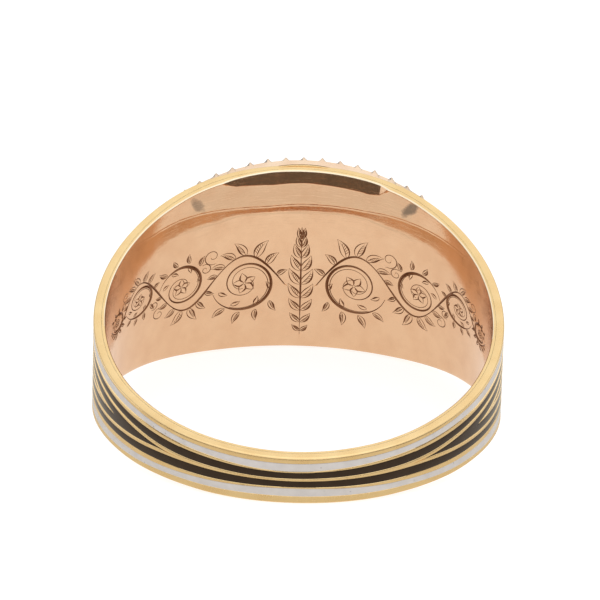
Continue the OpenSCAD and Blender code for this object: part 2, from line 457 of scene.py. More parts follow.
def leg(outer, inner, half, side, start, seed):
    """Rows of a closed loop of points round one leg of enamel, on one side or (side 0) both.
    outer and inner give the edges' indices; inner None is the middle line."""

    def edges(p):
        heights = edge_heights(p, half)
        return heights[outer], np.full(np.shape(p), -1.0) if inner is None else heights[inner]

    def row(z_of, depth_of):
        parts = []
        for sd in (-1, 1) if side == 0 else (side,):
            end = end_angle(lambda p: z_of(sd * p)) - math.degrees(END_GAP / OUTER_R)
            a = np.linspace(start, end, COLS if side == 0 else COLS // 2)
            z = z_of(sd * a)
            depth = depth_of(sd * a, z) + 0.0015 * wave(a * sd + 7 * z, seed, 24)
            parts.append((sd * a, z, depth))
        phi, z, depth = parts[0]
        if side == 0:
            phi, z, depth = (np.concatenate([left[::-1], right[1:]]) for left, right in zip(*parts))
        return outer_point(phi, half * z, depth), z

    def top(p, z):
        high, low = edges(p)
        return enamel_depth(np.minimum(high - z, np.where(low > 0, z - low, 9)))

    def sunk(depth):
        return lambda p, z: np.full(np.shape(p), depth)

    def height(t, off):
        def z_of(p):
            high, low = edges(p)
            wide = high - np.maximum(low, 0)
            if t == 0:
                z = high - np.minimum(off, 0.45 * wide)
            elif t == 1:
                z = np.where(low > -off, low + np.minimum(off, 0.45 * np.abs(high - low)), 0)
            else:
                z = high - t * wide
            return np.maximum(z, 0)
        return z_of

    plan = [(0, off, top) for off in EDGE_OFFSETS]
    plan.append((0.5, 0, top))
    plan += [(1, off, top) for off in EDGE_OFFSETS[::-1]]
    plan += [(1, off, sunk(depth)) for off, depth in FOOT_OFFSETS]
    plan += [(0, off, sunk(depth)) for off, depth in FOOT_OFFSETS[::-1]]
    return [row(height(t, off), depth_of) for t, off, depth_of in plan]


def leg_faces(rows, offset):
    """Faces of a leg's closed loop with caps at its ends, without the walls on the middle line."""
    n, cols = len(rows), len(rows[0][0])
    z = np.concatenate([r[1] for r in rows])
    first_wall = 2 * len(EDGE_OFFSETS)
    keep = []
    for quad in grid(n, cols, wrap_rows=True):
        on_wall = first_wall <= quad[0] // cols < first_wall + 2
        if not (on_wall and (z[quad] < 1e-6).all()):
            keep.append((quad + offset).tolist())
    keep.append([offset + k * cols for k in range(n)])
    keep.append([offset + k * cols + cols - 1 for k in range(n)][::-1])
    return keep


def enamel_mesh(name, material, legs):
    """A piece of enamel from its legs, each given as leg()'s arguments."""
    verts, faces = [], []
    for spec in legs:
        rows = leg(*spec)
        faces += leg_faces(rows, sum(len(v) for v in verts))
        verts += [r[0] for r in rows]
    return mesh_object(name, np.concatenate(verts), faces, [material])


# The lining and its engraving
# Height of the crease in the wall inside the head, by direction
CREASE = np.array([
    (-180, 3.4), (-75, 3.35), (-65, 3.30), (-60, 3.28), (-55, 3.20), (-50, 3.12), (-45, 3.20), (-40, 3.25),
    (-30, 3.20), (-20, 3.08), (-10, 3.00), (0, 3.08), (10, 3.10), (20, 3.12), (30, 3.20), (40, 3.20),
    (50, 3.15), (57, 3.10), (60, 3.20), (65, 3.28), (75, 3.35), (180, 3.4),
])
# How the wall leans out under and over the crease, by direction from the head: how far under the
# crease it starts, its slope there, its slope over the crease, and the steeper slope near the rim
LEAN = np.array([
    (0, 0.42, 0.2, 0.04, 0.225), (12, 0.36, 0.2, 0.04, 0.23), (20, 0.4, 0.195, 0.035, 0.245),
    (26, 0.63, 0.18, 0.035, 0.26), (34, 0.74, 0.165, 0.03, 0.28), (40, 0.8, 0.15, 0.01, 0.28),
    (50, 1.1, 0.11, 0, 0.2), (60, 1.2, 0.07, 0, 0), (80, 1.0, 0.03, 0, 0), (110, 0.5, 0, 0, 0),
])
# Height at which the slope gets steeper, by direction; at the sides it is over the rim
KNEE = np.array([
    (-28, 5), (-24, 4.45), (-20, 4.24), (-9, 4.12), (0, 4.2), (10, 4.14), (20, 4.04), (23, 4.1),
    (25.5, 4.4), (28.5, 5),
])
BURR = 0.01  # how far the crease's edge stands into the hole
WINDOW = 78  # half width of the engraved stretch, in degrees
STEP = 0.5  # degrees between the lining's columns


def crease_z(theta):
    fine = np.linspace(-180, 180, 1441)
    raw = np.interp(fine, CREASE[:, 0], CREASE[:, 1])
    kernel = np.exp(-np.linspace(-2, 2, 25) ** 2)
    soft = np.convolve(np.pad(raw, 12, mode="edge"), kernel / kernel.sum(), mode="valid")
    return np.interp(theta, fine, soft) + 0.012 * wave(theta, 77, 9)


def ramp(x, ease):
    """The height of a slope of 1 that starts at x = 0 and takes a distance ease to reach it."""
    u = np.clip(x / ease, 0, 1)
    return ease * (u**3 - u**4 / 2) + np.maximum(x - ease, 0)


def wall_growth(theta, z):
    """How far the lining's inner wall stands outside the plain hole, in millimetres."""
    top = rim_z(theta, INNER_R + 0.25, 1)
    crease = crease_z(theta)
    c = np.minimum(crease, top - 0.03)
    bend, slope, over, steep = (np.interp(np.abs(theta), LEAN[:, 0], LEAN[:, k]) for k in (1, 2, 3, 4))
    lean = slope * (ramp(z - c + bend, 0.09) - ramp(z - c, 0.03))
    fade = smooth((top - crease) / 0.7)
    knee = np.interp(theta, KNEE[:, 0], KNEE[:, 1]) + 0.012 * wave(theta, 9, 12)
    flare = over * ramp(z - c, 0.03) + steep * ramp(z - knee, 0.05)
    burr = BURR * np.exp(-(((z - crease) / 0.03) ** 2)) * (0.7 + 0.5 * wave(theta, 5, 4))
    room = seam_radius(z) - INNER_R - 0.04
    return np.minimum(lean + fade * (flare - burr), room)


def window_z(theta, v):
    """Height on the wall from the bottom (0) to the top (1) of the engraved stretch."""
    w = width_at(INNER_R * np.cos(np.radians(theta)))
    low, high = -(w - 0.35), np.minimum(2.45, w - 0.6)
    return low + (high - low) * v


def lining_rows(theta):
    """Rows of points from the lower rim up the inner wall, over the upper rim and down outside, with
    the number of the row under the engraved stretch and of the row where the lip starts."""
    rows = []

    def add(r, z):
        rows.append(polar(theta, r + 0 * theta, z + 0 * theta))

    def add_wall(z):
        add(INNER_R + wall_growth(theta, z), z)

    low = rim_z(theta, SEAM_R, -1)
    add(SEAM_R, -(low - 0.03))
    add(SEAM_R - 0.012, -(low - 0.003))
    for dr, dz in ((0.09, 0.0), (0.05, 0.012), (0.022, 0.05), (0.006, 0.12), (0.0, 0.2)):
        add(INNER_R + dr, -(rim_z(theta, INNER_R + dr, -1) - dz))
    low_row = len(rows)
    add(INNER_R, window_z(theta, 0))
    high_z = window_z(theta, 1)
    add_wall(high_z)
    # The wall's top edge is found by stepping: the rim's height and the lean depend on each other
    top = rim_z(theta, INNER_R, 1) - 0.065
    for _ in range(12):
        top = 0.5 * top + 0.5 * (rim_z(theta, INNER_R + wall_growth(theta, top), 1) - 0.06)
    c = np.minimum(crease_z(theta), top - 0.08)
    for t in (0.2, 0.4, 0.55, 0.65, 0.75, 0.85, 0.93):
        add_wall(high_z + (c - 0.08 - high_z) * t)
    for dz in (-0.08, -0.045, -0.02, 0, 0.02, 0.045, 0.075):
        add_wall(c + dz)
    knee = np.minimum(np.interp(theta, KNEE[:, 0], KNEE[:, 1]), top - 0.2)
    knee = np.maximum(knee, c + 0.2 * (top - c) + 0.076)
    for t in (0.2, 0.4, 0.6, 0.8, 0.93):
        add_wall(c + 0.076 + (knee - c - 0.076) * t)
    for t in (0, 0.04, 0.08, 0.14, 0.22, 0.34, 0.5, 0.67, 0.84, 1):
        add_wall(knee + (top - knee) * t)
    lip_row = len(rows) - 1
    edge = INNER_R + wall_growth(theta, top)
    seam = seam_top(theta, 1)
    for dr, dz in ((0.006, 0.016), (0.022, 0.034), (0.04, 0.048), (0.06, 0.057)):
        add(edge + dr * np.minimum(1, (seam - edge) / 0.08), top + dz)
    rim = rim_z(theta, seam, 1)
    add(seam, rim)
    for drop in (0.3, 0.6):
        add(seam_radius(rim - drop), rim - drop)
    add(SEAM_R, np.minimum(FLARE_Z, rim - 0.7))
    return rows, low_row, lip_row


def resample(points, spacing):
    p = np.asarray(points, float)
    d = np.r_[0, np.cumsum(np.hypot(*np.diff(p, axis=0).T))]
    n = max(3, int(round(d[-1] / spacing)) + 1)
    t = np.linspace(0, d[-1], n)
    return np.stack([np.interp(t, d, p[:, 0]), np.interp(t, d, p[:, 1])], -1), t / d[-1]


STROKE_STEP = 0.045  # spacing of the points on a stroke


def swell(t, start, middle, end, peak=0.45):
    """A stroke's width along its length: start, widest at peak, and end."""
    opening = np.sin(np.clip(t / peak, 0, 1) * math.pi / 2) ** 2
    closing = np.cos(np.clip((t - peak) / (1 - peak), 0, 1) * math.pi / 2) ** 2
    return np.where(t < peak, start + (middle - start) * opening, end + (middle - end) * closing)


def curl(centre, radius, start, turns, sense, widest):
    """A volute that winds inwards from a direction in degrees, in the sense 1 or -1."""
    u = np.linspace(0, 1, 150)
    a = math.radians(start) + sense * 2 * math.pi * turns * u
    r = radius * ((1 - u) ** 0.9 * 0.8 + 0.2)
    pts, t = resample(np.stack([centre[0] + r * np.cos(a), centre[1] + r * np.sin(a)], -1), STROKE_STEP)
    return pts, swell(t, 0.03, widest, 0.03, 0.3)


def cut(points, widest, peak=0.5):
    """One cut of the graver along a path, fine at both ends."""
    pts, t = resample(points, STROKE_STEP)
    return pts, swell(t, 0.022, widest, 0.016, peak)


def leaf(root, heading, length, bend, wide, shaded=True):
    """Cuts of a leaf that leaves its root in a heading and bends by so many degrees: two edges,
    a vein, and short shading cuts on one side."""
    v = np.linspace(0, 1, 20)
    a = np.radians(heading + bend * v)
    along = np.stack([np.cos(a), np.sin(a)], -1)
    axis = np.array(root) + np.concatenate([[[0, 0]], np.cumsum(along[:-1] * length / 19, 0)])
    across = np.stack([-along[:, 1], along[:, 0]], -1)
    swing = (wide / 2 * np.sin(math.pi * v**0.72))[:, None]
    cuts = [cut(axis + across * swing, 0.05), cut(axis - across * swing, 0.085)]
    if shaded:
        cuts.append(cut(axis[1:16], 0.045, 0.3))
        for k in (4, 6, 8, 10, 12):
            cuts.append(cut([axis[k], axis[k + 2] - across[k + 2] * swing[k + 2] * 0.86], 0.032))
    return cuts


def flower(centre, size, turned):
    """Cuts of a flower with five petals."""
    cuts = []
    for k in range(5):
        root = np.array(centre) + 0.1 * size * polar(turned + 72 * k, 1, 0)[:2]
        cuts += leaf(root, 90 - turned - 72 * k, size, 0, size * 0.62, False)
    return cuts


VINE_MIDDLE = -1.3  # height of the vine's middle where it starts
VINE_CLIMB = 1.5  # how far the vine's middle climbs towards its end
VINE_FIRST = 0.75  # where the first wave starts
VINE_SPANS = (3.6, 3.1, 2.6, 1.75)
# Leaves on the outside of an arch: place along it, heading, length, bend, width
ARCH_LEAVES = (
    (0.1, 134, 0.6, 40, 0.24), (0.24, 116, 0.85, 46, 0.34), (0.38, 98, 1.02, 40, 0.4),
    (0.52, 74, 1.12, -42, 0.42), (0.66, 54, 0.95, -50, 0.36), (0.8, 30, 0.78, -46, 0.3),
    (0.91, 8, 0.55, -40, 0.22),
)
INSIDE_LEAVES = (200, 250, 300, 345)  # directions of small leaves inside the volute
OUTSIDE_LEAVES = (222, 250, 278, 306)  # directions of leaves outside the volute


def vine(rng):
    """Cuts of a vine that runs out from the middle: a waved stem, a volute round a flower in each
    wave, and leaves on the outside of the bends."""
    cuts, stem = [], []
    start = VINE_FIRST

    def middle(x):
        return VINE_MIDDLE + VINE_CLIMB * smooth((np.asarray(x) - 1) / 9)

    for k, span in enumerate(VINE_SPANS):
        sign = 1 if k % 2 == 0 else -1
        high = 0.46 * span * rng.uniform(0.95, 1.05)
        u = np.linspace(0, 1, 40)[: None if k == len(VINE_SPANS) - 1 else -1]
        stem += list(zip(start + u * span, middle(start + u * span) + sign * high * np.sin(math.pi * u)))
        along = start + span * rng.uniform(0.49, 0.53)
        centre = np.array([along, float(middle(along)) + sign * 0.06])

        def spot(radius, turned):
            a = math.radians(sign * turned)
            return centre + radius * span * np.array([math.cos(a), math.sin(a)])

        turns = rng.uniform(1.5, 1.7)
        cuts.append(curl(centre, 0.45 * span, -sign * 14, turns, -sign, 0.15))
        cuts.append(curl(centre, 0.405 * span, -sign * 60, turns - 0.5, -sign, 0.04))
        cuts += flower(centre, 0.15 * span, rng.uniform(0, 72))
        for u, heading, length, bend, wide in ARCH_LEAVES:
            root = start + u * span, float(middle(start + u * span)) + sign * high * math.sin(math.pi * u)
            size = span / VINE_SPANS[0] * rng.uniform(0.88, 1.1)
            cuts += leaf(root, sign * (heading + rng.uniform(-7, 7)), length * size, sign * bend, wide * size)
        for turned in INSIDE_LEAVES:
            root = spot(0.37, turned)
            cuts += leaf(root, sign * (turned - 120), 0.14 * span, -sign * 40, 0.05 * span, False)
        for turned in OUTSIDE_LEAVES:
            size = 0.2 * span * rng.uniform(0.85, 1.1)
            cuts += leaf(spot(0.455, turned), sign * (turned + 42), size, -sign * 44, 0.36 * size)
        # Thin tendrils in the gaps beyond the crossing
        for reach, turned, far, up in ((0.13, -110, 0.98, 1.0), (0.09, 60, 1.08, 0.55)):
            along = start + span * far
            gap = np.array([along, float(middle(along)) + sign * high * up])
            cuts.append(curl(gap, reach * span, sign * turned, 1.2, sign, 0.05))
        start += span
    pts, t = resample(stem, STROKE_STEP)
    cuts.append((pts, 0.05 + 0.07 * np.sin(t * math.pi * len(VINE_SPANS)) ** 2))
    return cuts


# Leaves of the upright spray, from the bottom up: height of the root, length, heading
SPRAY_LEAVES = (
    (-3.9, 0.5, 26), (-3.4, 0.7, 30), (-2.75, 0.85, 34), (-2.05, 1.0, 38), (-1.3, 1.05, 42),
    (-0.55, 1.0, 46), (0.15, 0.86, 52), (0.75, 0.68, 58),
)


def spray():
    """Cuts of the upright spray of leaves in the middle."""
    cuts = [cut([(0, z) for z in np.linspace(-4.1, 1.3, 30)], 0.09)]
    for height, length, heading in SPRAY_LEAVES:
        for side in (-1, 1):
            cuts += leaf((0, height), 90 + side * (90 - heading), length, -side * 34, 0.36 * length)
    for side in (-1, 0, 1):
        cuts += leaf((0, 1.2), 90 + side * 26, 0.66, -side * 26, 0.2)
    return cuts


def ornament():
    """Every stroke of the engraving that lies inside its window, as points (distance round the wall,
    height) and widths."""
    strokes = spray()
    for side, seed in ((-1, 12), (1, 31)):
        strokes += [(pts * [side, 1], w) for pts, w in vine(np.random.default_rng(seed))]
    fitted = []
    for pts, w in strokes:
        theta = np.degrees(pts[:, 0] / INNER_R)
        scale = width_at(INNER_R * np.cos(np.radians(theta))) / width_at(INNER_R)
        z = pts[:, 1] * scale
        low, high = window_z(theta, 0), window_z(theta, 1)
        if ((np.abs(theta) < WINDOW - 1) & (z > low + 0.15) & (z < high - 0.15)).all():
            fitted.append((np.stack([pts[:, 0], z], -1), w * (0.75 + 0.25 * scale)))
    return fitted


def groove_depth(points, strokes, slope=0.8, deepest=0.065):
    """Depth of the engraving at points on the wall."""
    depth = np.zeros(len(points))
    for pts, w in strokes:
        lo, hi = pts.min(0) - 0.2, pts.max(0) + 0.2
        near = np.where(((points > lo) & (points < hi)).all(1))[0]
        if not len(near):
            continue
        p = points[near]
        a, b = pts[:-1], pts[1:]
        ab = b - a
        t = ((p[:, None] - a) * ab).sum(-1) / np.maximum((ab**2).sum(-1), 1e-12)
        t = np.clip(t, 0, 1)
        d = np.linalg.norm(p[:, None] - (a + t[..., None] * ab), axis=-1)
        wide = w[:-1] + t * (w[1:] - w[:-1])
        depth[near] = np.maximum(depth[near], ((wide / 2 - d) * slope).max(1))
    return np.clip(depth, 0, deepest)


PATCH_H = 5.0  # height of the flat sheet that the engraved stretch is triangulated on
PATCH_STEP = 0.3  # spacing of the points between the strokes


def engraved_patch():
    """Points and triangles of the engraved stretch of the wall, and which triangles are cut."""
    theta = np.arange(-WINDOW, WINDOW + STEP / 2, STEP)
    to_s = INNER_R * math.pi / 180  # millimetres round the wall in a degree
    verts, edges = [], []

    def chain(points, closed=False):
        first = len(verts)
        verts.extend(Vector(p) for p in points)
        n = len(points)
        edges.extend((first + i, first + i + 1) for i in range(n - 1))
        if closed:
            edges.append((first + n - 1, first))

    bottom = [(t * to_s, 0.0) for t in theta]
    top = [(t * to_s, PATCH_H) for t in theta[::-1]]
    chain(bottom + top, closed=True)

    def flat(points):
        """From distance and height on the wall to the flat sheet that is triangulated."""
        low = window_z(points[:, 0] / to_s, 0)
        high = window_z(points[:, 0] / to_s, 1)
        return np.stack([points[:, 0], (points[:, 1] - low) / (high - low) * PATCH_H], -1)

    strokes = ornament()
    marks = []
    for pts, w in strokes:
        tangent = np.gradient(pts, axis=0)
        tangent /= np.linalg.norm(tangent, axis=1)[:, None]
        normal = np.stack([-tangent[:, 1], tangent[:, 0]], -1)
        left = pts + normal * w[:, None] / 2
        right = pts - normal * w[:, None] / 2
        chain(flat(pts).tolist())
        chain(flat(np.concatenate([left, right[::-1]])).tolist(), closed=True)
        marks.append(np.concatenate([pts, left, right]))
    marks = np.concatenate(marks)
    tree = kdtree.KDTree(len(marks))
    for i, m in enumerate(flat(marks)):
        tree.insert((m[0], m[1], 0), i)
    tree.balance()
    span = WINDOW * to_s
    for x in np.arange(-span + PATCH_STEP, span - 0.1, PATCH_STEP):
        for y in np.arange(PATCH_STEP, PATCH_H - 0.1, PATCH_STEP):
            if tree.find((x, y, 0))[2] > 0.09:
                verts.append(Vector((float(x), float(y))))
    out = geometry.delaunay_2d_cdt(verts, edges, [], 0, 1e-5, False)
    sheet = np.array([(v.x, v.y) for v in out[0]])
    tris = np.array([f for f in out[2] if len(f) == 3])
    theta = sheet[:, 0] / to_s
    z = window_z(theta, np.clip(sheet[:, 1] / PATCH_H, 0, 1))
    wall = np.stack([sheet[:, 0], z], -1)
    depth = groove_depth(wall, strokes)
    depth[(sheet[:, 1] < 1e-4) | (sheet[:, 1] > PATCH_H - 1e-4)] = 0
    middle = wall[tris].mean(1)
    carved = groove_depth(middle, strokes) > 0.0015
    return polar(theta, INNER_R + wall_growth(theta, z) + depth, z), tris, carved


PLAIN, CUT, LIP_POLISH_AND_HIGHLIGHT, YELLOW = 0, 1, 2, 3


def lining_mesh(gold, groove, lip_polish_and_highlight, rim):
    theta = np.arange(-180, 180, STEP)
    rows, low_row, lip_row = lining_rows(theta)
    cols = len(theta)
    quads = grid(len(rows), cols, wrap_rows=True, wrap_cols=True).tolist()
    open_cols = set(np.where((theta >= -WINDOW) & (theta < WINDOW))[0])
    quads = [q for q in quads if not (q[0] // cols == low_row and q[0] % cols in open_cols)]
    patch, tris, carved = engraved_patch()
    faces = quads + (tris + len(rows) * cols).tolist()
    kinds = []
    for q in quads:
        line, col = divmod(q[0], cols)
        # Lip rows round the head: a lighter gold as a painted highlight, with the lower roughness of polished
        # gold
        if abs(theta[col]) < 95 and 0 <= line - lip_row < 4:
            kinds.append(LIP_POLISH_AND_HIGHLIGHT)
        else:
            kinds.append(YELLOW if 0 < line - lip_row < 5 else PLAIN)
    kinds += (carved * CUT).tolist()
    verts = np.concatenate(rows + [patch])
    return mesh_object("lining_sleeve", verts, faces, [gold, groove, lip_polish_and_highlight, rim], kinds, sharp=24)


# Collet and glazing
QUARTER_SIDE = SIDE_R * (math.pi / 2 - TURN)
QUARTER = QUARTER_SIDE + END_R * TURN
COLLET_TILT = 0.012  # how far the rim climbs to the right for each millimetre
RIM_LIFT = 0.06  # how far the rim stands over the crystal's edge
# The collet's outside, from the foot: inset and height under the band's surface. The solder line
# is between the second and the fifth row.
FOOT_ROWS = ((0.01, 0.16), (0.004, 0.09), (0.03, 0.075), (0.03, 0.06), (0.002, 0.045))
# A tooth across the rim: inset, how far down the rim has rounded off, share of the tooth's height
TOOTH_ROWS = ((0.002, 0.008, 0.3), (0.012, 0.002, 0.7), (0.035, 0, 0.95), (0.075, 0, 1.0), (0.13, 0, 0.93),
              (0.2, 0, 0.74), (0.29, 0, 0.45), (0.38, 0, 0.16), (0.43, 0.01, 0.02))
METAL, JOINT, SOIL_AND_SHADE, FOOT = 0, 1, 2, 3


def rim_place(s):
    """Places on the oval's outline at lengths s from its top: x, z and the outward direction."""
    s = np.mod(s, 4 * QUARTER)
    part = (s // QUARTER).astype(int)
    part = np.minimum(part, 3)
    u = np.where(part % 2 == 0, s - part * QUARTER, (part + 1) * QUARTER - s)
    on_side = u <= QUARTER_SIDE
    a = np.where(on_side, math.pi / 2 - u / SIDE_R, TURN - (u - QUARTER_SIDE) / END_R)
    x = np.where(on_side, SIDE_R * np.cos(a), END_X + END_R * np.cos(a))
    z = np.where(on_side, SIDE_R * np.sin(a) - SIDE_C, END_R * np.sin(a))
    sx = np.where(part < 2, 1, -1)
    sz = np.where((part == 0) | (part == 3), 1, -1)
    return x * sx, z * sz, np.cos(a) * sx, np.sin(a) * sz


def collet_mesh(metal, joint, soil_and_shade, foot):
    pitch = 4 * QUARTER / TEETH
    half = TOOTH_W / 2 / pitch
    flank = half * np.array([0.1, 0.3, 0.55, 0.8, 1, 1.1])
    offsets = np.concatenate([[-0.5, -0.42, -0.34], -flank[::-1], flank, [0.34, 0.42]])
    s, shape = [], []
    rng = np.random.default_rng(3)
    for k in range(TEETH):
        high = TOOTH_H * rng.uniform(1.12, 1.28)
        shift = rng.uniform(-0.03, 0.03)
        s += list((k + shift + offsets) * pitch)
        shape += list(high * np.clip(1 - (np.abs(offsets) / half) ** 1.25, 0, 0.97))
    s, shape = np.array(s), np.array(shape)
    x, z, nx, nz = rim_place(s)
    uneven = 0.012 * wave(s / (4 * QUARTER) * 360, 21, 20)
    surface = SHIFT + np.sqrt(OUTER_R**2 - x**2)
    top = COLLET_Y + RIM_LIFT + uneven * 0.5 + COLLET_TILT * x
    rows = []

    def add(inset, y, round_off=0.0):
        inset = inset + round_off * (1 - shape / shape.max())
        rows.append(xyz(x - nx * inset, y, z - nz * inset))

    for inset, down in FOOT_ROWS:
        add(inset, surface - down)
    for t in (0.35, 0.7):
        add(0.0, surface * (1 - t) + (top - 0.03) * t - 0.045 * (1 - t))
    shoulder = len(rows)
    add(0.0, top - 0.03)
    for inset, down, k in TOOTH_ROWS:
        add(inset, top - down + shape * k, 0.06 * k * (inset < 0.3))
    add(COLLET_WALL, top - 0.04)
    add(COLLET_WALL, COLLET_Y - 0.14)
    add(COLLET_WALL, np.minimum(surface, COLLET_Y - 0.14) - 0.06)
    cols = len(s)
    quads = grid(len(rows), cols, wrap_rows=True, wrap_cols=True)
    darkening = rng.uniform(0, 1, TEETH)
    kinds = []
    for first in quads[:, 0]:
        line, col = divmod(first, cols)
        tooth, place = divmod(col, len(offsets))
        # The teeth's left flanks, more of them on the collet's left side, and the hollows between the teeth
        # at the shoulder get dark brown: old soiling with painted shade
        reach = (3.2 if x[col] < -1 else 1) + 3 * darkening[tooth]
        soiled_and_shaded = 0 <= line - shoulder < 4 and 3 <= place < 3 + reach
        if 0 < line < 4:
            kinds.append(JOINT)
        elif soiled_and_shaded or (line == shoulder and shape[col] < 0.02):
            kinds.append(SOIL_AND_SHADE)
        else:
            kinds.append(METAL if line else FOOT)
    verts = np.concatenate(rows)
    return mesh_object("collet", verts, quads.tolist(), [metal, joint, soil_and_shade, foot], kinds, sharp=32)


def crystal_mesh(glass):
    inset = COLLET_WALL + GAP
    n = 192
    x, z, nx, nz = rim_place(np.arange(n) * 4 * QUARTER / n)
    x, z = x - nx * inset, z - nz * inset
    half_length = COLLET_A - inset
    dome_r = (half_length**2 + CRYSTAL_RISE**2) / (2 * CRYSTAL_RISE)
    base_y = SHIFT + OUTER_R + GAP + PANEL_T + GAP
    dome_y = base_y + CRYSTAL_FOOT + CRYSTAL_RISE - dome_r

    def dome(px, pz):
        return dome_y + np.sqrt(dome_r**2 - px**2 - pz**2)

    rows = [xyz(x * f, base_y + up, z * f) for f, up in ((0.5, 0), (0.995, 0), (1, 0.03))]
    edge = [(1, 0.06), (0.998, 0.03), (0.992, 0.01), (0.98, 0.002)]
    for f, down in edge + [(f, 0) for f in (0.95, 0.9, 0.8, 0.7, 0.6, 0.5, 0.4, 0.3, 0.2, 0.1)]:
        rows.append(xyz(x * f, dome(x * f, z * f) - down, z * f))
    verts = np.concatenate(rows + [[[0, base_y, 0]], [[0, dome(0.0, 0.0), 0]]])
    faces = grid(len(rows), n, wrap_cols=True).tolist()
    low, high = len(rows) * n, len(rows) * n + 1
    last = (len(rows) - 1) * n
    faces += [[low, (i + 1) % n, i] for i in range(n)]
    faces += [[high, last + i, last + (i + 1) % n] for i in range(n)]
    return mesh_object("crystal_cover", verts, faces, [glass])


# Materials
class Nodes:
    """The node tree of a new material or world, built with short calls."""

    def __init__(self, name, world=False):
        self.owner = (bpy.data.worlds if world else bpy.data.materials).new(name)
        self.owner.use_nodes = True
        self.tree = self.owner.node_tree
        self.tree.nodes.clear()
        self.shader = self.add("Background" if world else "BsdfPrincipled")
        output = self.add("OutputWorld" if world else "OutputMaterial")
        self.put(output, 0, self.shader.outputs[0])

    def add(self, kind, settings=None, **inputs):
        n = self.tree.nodes.new("ShaderNode" + kind)
        for k, v in (settings or {}).items():
            setattr(n, k, v)
        for k, v in inputs.items():
            self.put(n, k, v)
        return n

    def put(self, node, socket, value):
        s = node.inputs[socket]
        if isinstance(value, bpy.types.NodeSocket):
            self.tree.links.new(value, s)
        else:
            s.default_value = value

    def finish(self, **values):
        """Puts values on the shader's sockets; an underscore stands for a space in a name."""
        for name, value in values.items():
            self.put(self.shader, name.replace("_", " "), value)
        return self.owner

    def place(self, scale=(1, 1, 1), rotation=(0, 0, 0), uv=False):
        """Coordinates in millimetres: the object's, or with uv round the wall and up it."""
        if uv:
            source = self.add("UVMap", {"uv_map": "wall"}).outputs[0]
        else:
            source = self.add("TexCoord").outputs["Object"]
            scale = [v / MM for v in scale]
        return self.add("Mapping", Vector=source, Rotation=rotation, Scale=scale).outputs[0]

    def noise(self, vector, scale, detail=3.0, rough=0.55):
        n = self.add("TexNoise", Vector=vector, Scale=scale, Detail=detail, Roughness=rough)
        return n.outputs["Fac"]

    def remap(self, value, low, high, to_low, to_high):
        n = self.add("MapRange")
        for k, v in enumerate((value, low, high, to_low, to_high)):
            self.put(n, k, v)
        return n.outputs[0]

    def math(self, op, a, b=0.0):
        n = self.add("Math", {"operation": op})
        self.put(n, 0, a)
        self.put(n, 1, b)
        return n.outputs[0]

    def mix(self, fac, a, b):
        """A colour between a and b, each a colour or a socket."""
        n = self.add("Mix", {"data_type": "RGBA"})
        for k, v in ((0, fac), (6, a), (7, b)):
            self.put(n, k, (*v, 1) if isinstance(v, tuple) else v)
        return n.outputs[2]

    def bump(self, height, distance, normal=None):
        n = self.add("Bump", Strength=1.0, Distance=distance, Height=height)
        if normal is not None:
            self.put(n, "Normal", normal)
        return n.outputs[0]

    def smudge(self, wall, s, z, length, width, lean, strength):
        """A soft-edged, mottled patch on the wall, from 0 to its strength."""
        turned = self.add("VectorRotate", {"rotation_type": "Z_AXIS"}, Vector=wall, Center=(s, z, 0),
                          Angle=math.radians(-lean))
        parts = self.add("SeparateXYZ", Vector=turned.outputs[0])
        squares = []
        for k, middle, size in ((0, s, length), (1, z, width)):
            away = self.math("DIVIDE", self.math("SUBTRACT", parts.outputs[k], middle), size)
            squares.append(self.math("POWER", self.math("ABSOLUTE", away), 2.0))
        mottle = self.remap(self.noise(wall, 3.0, 4.0, 0.6), 0.35, 0.65, -0.4, 0.4)
        return self.remap(self.math("ADD", self.math("ADD", *squares), mottle), 0.3, 1.3, strength, 0.0)

    def scratches(self, angle, stretch, scale, seed):
        """Sparse hairlines in one direction, as a height from 0 to 1."""
        v = self.place(scale=(1, stretch, 1), rotation=(0, 0, math.radians(angle)), uv=True)
        shift = self.add("VectorMath", {"operation": "ADD"})
        self.put(shift, 0, v)
        self.put(shift, 1, (seed * 3.7, seed * 1.3, seed))
        n = self.noise(shift.outputs[0], scale, 2.0, 0.6)
        return self.remap(n, 0.62, 0.72, 0.0, 1.0)


# Dark mottled smudges on the flared wall inside the head: place along the wall, height, half length, half
# width, lean in degrees, strength
SMUDGES = ((-5.05, 3.8, 0.58, 0.24, -52, 0.62), (5.23, 4.02, 0.68, 0.25, 50, 0.85))
# Hairline scratches: direction, stretch, scale, seed
HAIRLINES = ((8, 26, 0.8, 1), (-34, 30, 0.7, 2), (83, 28, 0.9, 3))


def gold_material(name, color, deep, rough, dark_patches=()):
    """Worn, polished gold: a soft ripple, patches of lustre, hairline scratches and smudges."""
    m = Nodes(name)
    body = m.place()
    wall = m.place(uv=True)
    patches = m.noise(body, 0.9, 4.0)
    grain = m.noise(body, 9.0, 5.0, 0.65)
    base = m.mix(m.remap(patches, 0.35, 0.7, 0.0, 1.0), color, deep)
    for darkening in dark_patches:
        base = m.mix(m.smudge(wall, *darkening), base, (0.19, 0.14, 0.1))
    lustre = m.math("ADD", m.remap(grain, 0.3, 0.7, -0.04, 0.05), m.remap(patches, 0.3, 0.7, -0.02, 0.03))
    first, second, third = (m.scratches(*line) for line in HAIRLINES)
    fine = m.math("ADD", m.math("ADD", first, second), third)
    n = m.bump(m.noise(wall, 0.42, 2.0, 0.4), 0.006 * MM)
    n = m.bump(fine, 0.0006 * MM, n)
    n = m.bump(grain, 0.0012 * MM, n)
    return m.finish(Base_Color=base, Metallic=1.0, Roughness=m.math("ADD", lustre, rough), Normal=n)


